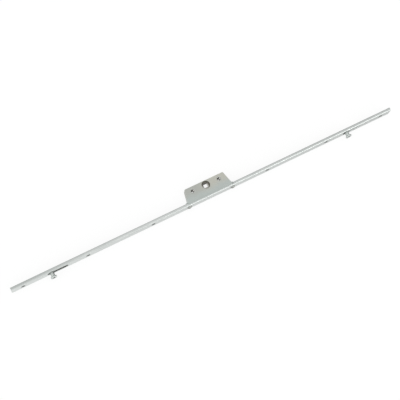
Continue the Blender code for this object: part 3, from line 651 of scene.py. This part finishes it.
def make_cam(word):
    """A mushroom cam and its washer.

    The cam has a coved neck, a rounded head with a countersunk hexagon socket, and an
    eccentric tail that is peened over the washer.
    """
    centre = (CAM_X[word], 0, 0)
    pivot = (CAM_X[word] + CAM_THROW, 0, 0)
    mouth = CAM_SOCKET_CORNER + CAM_LEAD / 2
    under = (CAM_HEAD - CAM_EDGE / 2, CAM_UNDER + CAM_EDGE / 2)
    rim = (CAM_HEAD - CAM_EDGE, CAM_TOP - CAM_EDGE)
    profile = [(CAM_NECK, -CAM_BACK)]
    profile += arc((CAM_NECK + CAM_COVE, CAM_UNDER - CAM_COVE), CAM_COVE, pi, pi / 2, COVE_STEPS)
    profile += arc(under, CAM_EDGE / 2, -pi / 2, 0, UNDERSIDE_STEPS)
    profile += arc(rim, CAM_EDGE, 0, pi / 2, RIM_STEPS)
    profile += [(mouth, CAM_TOP), (mouth - CAM_LEAD, CAM_TOP - CAM_LEAD)]
    mushroom = bmesh.new()
    add_turned(mushroom, profile, centre, "front")

    washer_back = BAR_BACK + WASHER_THICKNESS + 2 * SEAM
    tail = arc((PEEN - PEEN_ROUND, PEEN_ROUND - PEEN_BACK), PEEN_ROUND, -pi / 2, 0, PEEN_STEPS)
    tail += [(PEEN, -washer_back), (CAM_TAIL, -washer_back), (CAM_TAIL, -CAM_TAIL_ROOT)]
    shank = bmesh.new()
    add_turned(shank, tail, pivot, "front")

    angles = [CAM_SOCKET_TURN + pi / 3 * i for i in range(6)]
    hexagon = [(centre[0] + CAM_SOCKET_CORNER * cos(a), CAM_SOCKET_CORNER * sin(a)) for a in angles]
    socket = bmesh.new()
    add_prism(socket, hexagon, CAM_TOP - CAM_SOCKET_DEPTH, CAM_TOP + CUT_BEFORE)
    changes = [("UNION", shank), ("DIFFERENCE", socket)]
    finish_piece(shaped(f"cam_{word}_turned", mushroom, changes), f"mushroom_cam_{word}", 0)

    front = BAR_BACK + SEAM
    back = front + WASHER_THICKNESS
    inner = CAM_TAIL + SEAM
    section = [(inner, -front), (WASHER, -front), (WASHER, -back), (inner, -back)]
    ring = bmesh.new()
    add_turned(ring, section, pivot, "front", ends="joined")
    finish_piece(object_of(f"washer_{word}_turned", ring), f"cam_washer_{word}", WASHER_BREAK)


def make_case_rivet(word, side):
    """A domed rivet whose foot fills its seat in the rail."""
    sphere = (RIVET_HEAD**2 + RIVET_DOME**2) / (2 * RIVET_DOME)
    dome = arc((0, RIVET_DOME - sphere), sphere, pi / 2, acos(RIVET_HEAD / sphere), DOME_STEPS)
    foot = RIVET_HEAD + CLEARANCE - SEAM
    seat = SEAM - CLEARANCE
    profile = [(0, RIVET_DOME), *dome[1:]]
    profile += [(foot, 0), (foot, seat), (RIVET_SHANK, seat), (RIVET_SHANK, -RIVET_TAIL)]
    bm = bmesh.new()
    add_turned(bm, profile, (side * RIVET_X, 0, 0), "front")
    finish_piece(object_of(f"case_rivet_{word}_turned", bm), f"case_rivet_{word}", CASE_RIVET_BREAK)


def make_bush(word, side):
    """A handle bush, tight in the case, with a screw thread between its flared ends."""
    centre = Vector((side * HANDLE_X, HUB_Y, 0))
    end = CASE_HALF - BUSH_FLARE
    outer = BUSH_RADIUS + CLEARANCE - SEAM
    bm = bmesh.new()
    rows = []
    for turn in range(ceil(2 * end / THREAD_PITCH) + 2):
        for along, ridge in THREAD_PROFILE:
            row = []
            for i in range(ROUND + 1):
                level = (turn + along + i / ROUND - 1) * THREAD_PITCH - end
                level = min(max(level, -end), end)
                fade = min(1, (end - abs(level)) / THREAD_PITCH)
                radius = BUSH_BORE - ridge * fade * THREAD_DEPTH
                angle = 2 * pi * i / ROUND
                row.append(bm.verts.new(centre + Vector((radius * cos(angle), radius * sin(angle), level))))
            rows.append(row)
    for low, high in zip(rows, rows[1:]):
        for i in range(ROUND):
            bm.faces.new((low[i], low[i + 1], high[i + 1], high[i]))
    wall = [(BUSH_BORE, -end), (BUSH_BORE + BUSH_FLARE, -CASE_HALF), (outer, -CASE_HALF)]
    wall += [(radius, -level) for radius, level in reversed(wall)]
    add_turned(bm, wall, centre, "Z", ends="open")
    bmesh.ops.remove_doubles(bm, verts=bm.verts, dist=THREAD_WELD)
    finish_piece(object_of(f"handle_bush_{word}_threaded", bm), f"handle_bush_{word}", 0)


def rail_cuts():
    """Cutters that draw the rail's slots and screw holes again with rounder ends."""
    cuts = bmesh.new()
    through = -RAIL_WALL - CUT_PAST
    end = SLOT_END + SEAM
    straight = SLOT_HALF - SLOT_END
    hole = SCREW_HOLE + SEAM
    for side in (-1, 1):
        outline = arc((side * SLOT_X + straight, 0), end, -pi / 2, pi / 2, ROUND // 2)
        outline += arc((side * SLOT_X - straight, 0), end, pi / 2, 3 * pi / 2, ROUND // 2)
        add_prism(cuts, outline, through, CUT_BEFORE)
        for x in SCREW_X:
            profile = [(hole + SCREW_SINK + CUT_BEFORE, CUT_BEFORE), (hole, -SCREW_SINK), (hole, through)]
            add_turned(cuts, profile, (side * x, 0, 0), "front")
    return [("DIFFERENCE", cuts)]


def drawn_out(value, start, end):
    """A coordinate past start, stretched by as much as closes the clearance beyond end."""
    length = abs(end - start)
    return start + (value - start) * (length + CLEARANCE - SEAM) / length


def close_case(place):
    """The case's foot drawn to the rail, and its two halves to a hairline seam."""
    x, y, z = place
    if y < CASE_FOOT_STRETCH:
        y = drawn_out(y, CASE_FOOT_STRETCH, CASE_FOOT_Y)
    if CASE_SEAM_STRETCH < z <= CASE_SPLIT + SEAM:
        z = drawn_out(z, CASE_SEAM_STRETCH, CASE_SPLIT)
    return Vector((x, y, z))


def close_clip(place):
    """The clip moved up to the bar, and its barbs drawn out to the legs of the rail."""
    return Vector((place.x, place.y - CLEARANCE + SEAM, drawn_out(place.z, 0, CLIP_REACH)))


dress("faceplate_rail", RAIL_BREAK, cuts=rail_cuts())
dress("drive_bar", BAR_BREAK)
dress("drive_rack", RACK_BREAK)
dress("hub_pinion", HUB_BREAK)
dress("case_body", CASE_BREAK, close_case)
dress("case_cover", CASE_BREAK, close_case)
for number in range(1, 5):
    dress(f"bar_clip_{number}", CLIP_BREAK, close_clip)
for side, word in ((-1, "left"), (1, "right")):
    dress(f"rack_rivet_{word}", RACK_BREAK)
    make_cam(word)
    make_case_rivet(word, side)
    make_bush(word, side)


# Studio

def add_camera():
    """A camera at the photograph's viewing angle."""
    data = bpy.data.cameras.new("camera")
    data.lens = CAMERA_LENS
    data.sensor_width = CAMERA_SENSOR
    data.clip_start = CAMERA_NEAR
    data.clip_end = CAMERA_FAR
    camera = bpy.data.objects.new("camera", data)
    look = (CAMERA_TARGET - CAMERA_PLACE).normalized()
    camera.location = CAMERA_PLACE
    camera.rotation_mode = "QUATERNION"
    camera.rotation_quaternion = look.to_track_quat("-Z", "Y") @ Quaternion((0, 0, 1), CAMERA_ROLL)
    bpy.context.scene.collection.objects.link(camera)
    bpy.context.scene.camera = camera


def add_softbox():
    """A long, low lamp at the front right, which the rail's upper bend mirrors."""
    data = bpy.data.lights.new("softbox", "AREA")
    data.shape = "RECTANGLE"
    data.size = LAMP_WIDTH
    data.size_y = LAMP_HEIGHT
    data.energy = LAMP_POWER
    lamp = bpy.data.objects.new("softbox", data)
    lamp.location = LAMP_PLACE
    lamp.rotation_mode = "QUATERNION"
    lamp.rotation_quaternion = (LAMP_AIM - LAMP_PLACE).to_track_quat("-Z", "Y")
    bpy.context.scene.collection.objects.link(lamp)


def add_ramp(tree, value, low, high, low_out, high_out):
    """A node that stretches a value between low and high to between the two outputs."""
    ramp = tree.nodes.new("ShaderNodeMapRange")
    ramp.inputs["From Min"].default_value = low
    ramp.inputs["From Max"].default_value = high
    ramp.inputs["To Min"].default_value = low_out
    ramp.inputs["To Max"].default_value = high_out
    tree.links.new(value, ramp.inputs["Value"])
    return ramp


def add_floor(level):
    """White floor: matt paint that takes the shadow, with a glow for the rays that see it.

    What the metal mirrors of it falls off from the rail's left end to its right end.
    """
    mesh = bpy.data.meshes.new("floor")
    reach = FLOOR_REACH
    corners = [(-reach, -reach, level), (reach, -reach, level), (reach, reach, level), (-reach, reach, level)]
    mesh.from_pydata(corners, [], [(0, 1, 2, 3)])
    floor = bpy.data.objects.new("floor", mesh)
    bpy.context.scene.collection.objects.link(floor)

    material = bpy.data.materials.new("white_floor")
    material.use_nodes = True
    tree = material.node_tree
    tree.nodes.clear()
    paint = tree.nodes.new("ShaderNodeBsdfDiffuse")
    paint.inputs["Color"].default_value = (FLOOR_PAINT, FLOOR_PAINT, FLOOR_PAINT, 1)
    spot = tree.nodes.new("ShaderNodeSeparateXYZ")
    tree.links.new(tree.nodes.new("ShaderNodeTexCoord").outputs["Object"], spot.inputs[0])
    sheen = add_ramp(tree, spot.outputs["X"], -RAIL_HALF, RAIL_HALF, FLOOR_SHEEN_LEFT, FLOOR_SHEEN_RIGHT)

    path = tree.nodes.new("ShaderNodeLightPath")
    strength = None
    for ray in ("Camera", "Transmission", "Glossy"):
        added = tree.nodes.new("ShaderNodeMath")
        added.operation = "MULTIPLY_ADD"
        added.inputs[1].default_value = FLOOR_GLOW
        added.inputs[2].default_value = 0
        tree.links.new(path.outputs[f"Is {ray} Ray"], added.inputs[0])
        if ray == "Glossy":
            tree.links.new(sheen.outputs["Result"], added.inputs[1])
        if strength:
            tree.links.new(strength, added.inputs[2])
        strength = added.outputs["Value"]
    glow = tree.nodes.new("ShaderNodeEmission")
    tree.links.new(strength, glow.inputs["Strength"])
    both = tree.nodes.new("ShaderNodeAddShader")
    tree.links.new(paint.outputs[0], both.inputs[0])
    tree.links.new(glow.outputs[0], both.inputs[1])
    output = tree.nodes.new("ShaderNodeOutputMaterial")
    tree.links.new(both.outputs[0], output.inputs["Surface"])
    mesh.materials.append(material)


def add_world():
    """A soft studio tent, brightest over the left; the camera sees it as white."""
    world = bpy.data.worlds.new("studio")
    world.use_nodes = True
    tree = world.node_tree
    towards = tree.nodes.new("ShaderNodeVectorMath")
    towards.operation = "DOT_PRODUCT"
    towards.inputs[1].default_value = TENT_BRIGHT_SIDE
    tree.links.new(tree.nodes.new("ShaderNodeTexCoord").outputs["Generated"], towards.inputs[0])
    level = add_ramp(tree, towards.outputs["Value"], -1.0, 1.0, TENT_DARK, TENT_BRIGHT)
    level.interpolation_type = "SMOOTHSTEP"
    path = tree.nodes.new("ShaderNodeLightPath")
    pick = tree.nodes.new("ShaderNodeMix")
    pick.data_type = "FLOAT"
    pick.inputs["B"].default_value = 1.0
    tree.links.new(path.outputs["Is Camera Ray"], pick.inputs["Factor"])
    tree.links.new(level.outputs["Result"], pick.inputs["A"])
    tent = tree.nodes["Background"]
    tent.inputs["Color"].default_value = (1, 1, 1, 1)
    tree.links.new(pick.outputs["Result"], tent.inputs["Strength"])
    bpy.context.scene.world = world


bpy.context.scene.view_settings.view_transform = "Standard"
add_camera()
add_world()
add_floor(cad_box[0].z)
add_softbox()
